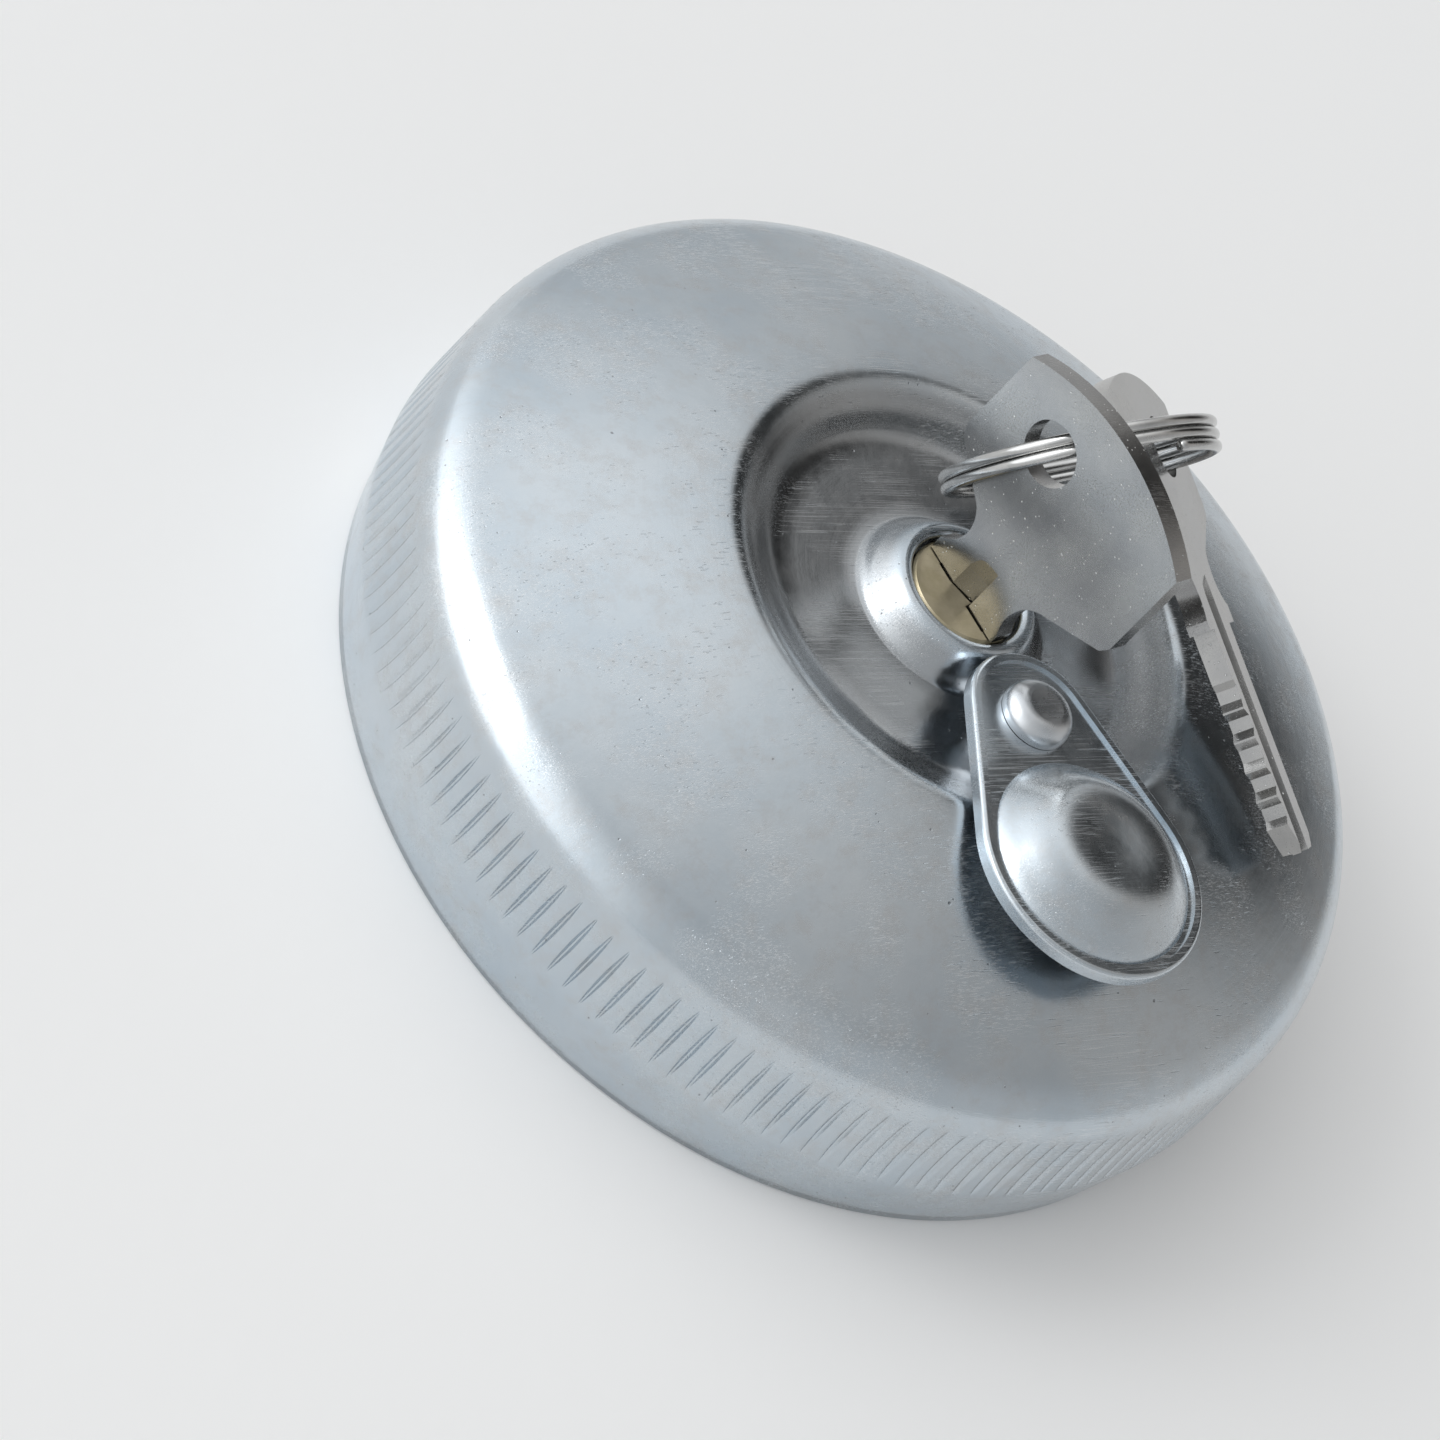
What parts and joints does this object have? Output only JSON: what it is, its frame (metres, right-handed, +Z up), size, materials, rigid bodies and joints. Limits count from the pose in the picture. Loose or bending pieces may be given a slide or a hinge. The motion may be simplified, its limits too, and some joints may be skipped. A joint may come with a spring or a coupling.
{
  "type": "locking fuel tank cap",
  "caption": "Locking bayonet fuel tank cap: domed metal cover with knurled skirt, swinging dust cover over a keyed plug, sliding bolts, sprung gasket, keys on a split ring.",
  "frame": {"origin": "centre of the skirt's lower rim, on the lock's axis", "axes": "+Z up along the lock's axis, away from the tank; -Y towards the open dust cover; +X along the right-hand locking bolt"},
  "size_m": [0.1, 0.1, 0.0518],
  "materials": {
    "cover_aluminium": "spun satin aluminium with a knurled skirt",
    "rivet_steel": "bright steel",
    "plug_brass": "pale machined brass",
    "wafer_brass": "stamped brass",
    "spring_steel": "drawn wire",
    "seal_rubber": "matt black rubber",
    "key_nickel": "nickel plate over brass, worn",
    "ring_steel": "plated spring steel",
    "housing_zinc": "as-cast zinc",
    "plated_steel": "zinc plated pressed steel",
    "vent_plastic": "moulded black plastic"
  },
  "bodies": {
    "cap": {"cover_shell": "cover_aluminium", "cover_rivet": "rivet_steel", "rivet_spacer": "rivet_steel", "rivet_washer": "rivet_steel", "inner_plate": "plated_steel", "lock_housing": "housing_zinc", "housing_rivets": "rivet_steel", "bayonet_plate": "plated_steel", "plate_screws": "plated_steel", "bolt_guides": "plated_steel", "vent_valve": "vent_plastic", "pressure_spring": "spring_steel"},
    "plug": {"lock_plug": "plug_brass", "wafer_1": "wafer_brass", "wafer_2": "wafer_brass", "wafer_3": "wafer_brass", "wafer_4": "wafer_brass", "wafer_5": "wafer_brass", "wafer_springs": "spring_steel", "plug_seal": "seal_rubber", "scroll_cam": "plated_steel", "cam_screw": "plated_steel"},
    "dust_cover": {"dust_cover": "cover_aluminium"},
    "gasket": {"gasket_plate": "plated_steel", "neck_gasket": "seal_rubber"},
    "bolt_right": {"bolt_right": "plated_steel"},
    "bolt_left": {"bolt_left": "plated_steel"},
    "key": {"key": "key_nickel"},
    "ring": {"split_ring": "ring_steel"},
    "spare_key": {"spare_key": "key_nickel"}
  },
  "joints": [
    {"name": "cover_swing", "type": "hinge", "parent": "cap", "child": "dust_cover", "pos_m": [0, -0.0144, 0.029], "axis": [0, 0, -1], "range_deg": [0, 105]},
    {"name": "plug_turn", "type": "hinge", "parent": "cap", "child": "plug", "pos_m": [0, 0, 0.0272], "axis": [0, 0, 1], "range_deg": [0, 90]},
    {"name": "bolt_right_slide", "type": "slide", "parent": "cap", "child": "bolt_right", "axis": [-1, 0, 0], "range_m": [0, 0.00401]},
    {"name": "bolt_left_slide", "type": "slide", "parent": "cap", "child": "bolt_left", "axis": [1, 0, 0], "range_m": [0, 0.00401]},
    {"name": "gasket_press", "type": "slide", "parent": "cap", "child": "gasket", "axis": [0, 0, 1], "range_m": [0, 0.0015], "stiffness_N_per_m": 8000, "springref_m": -0.0025, "deforming": ["pressure_spring"]},
    {"name": "key_pull", "type": "slide", "parent": "plug", "child": "key", "axis": [0, 0, 1], "range_m": [0, 0.03]},
    {"name": "ring_swing", "type": "hinge", "parent": "key", "child": "ring", "pos_m": [-0.00067, 0.00292, 0.0445], "axis": [0.6219, -0.232, 0.7479], "range_deg": [0, 8]},
    {"name": "spare_key_swing", "type": "hinge", "parent": "ring", "child": "spare_key", "pos_m": [0.01864, 0.00865, 0.03762], "axis": [-0.1249, 0.3728, -0.9195], "range_deg": [-15, 0]}
  ],
  "couplings": [
    {"joint": "bolt_right_slide", "follows": "plug_turn", "m_per_rad": 0.0025465},
    {"joint": "bolt_left_slide", "follows": "plug_turn", "m_per_rad": 0.0025465}
  ]
}
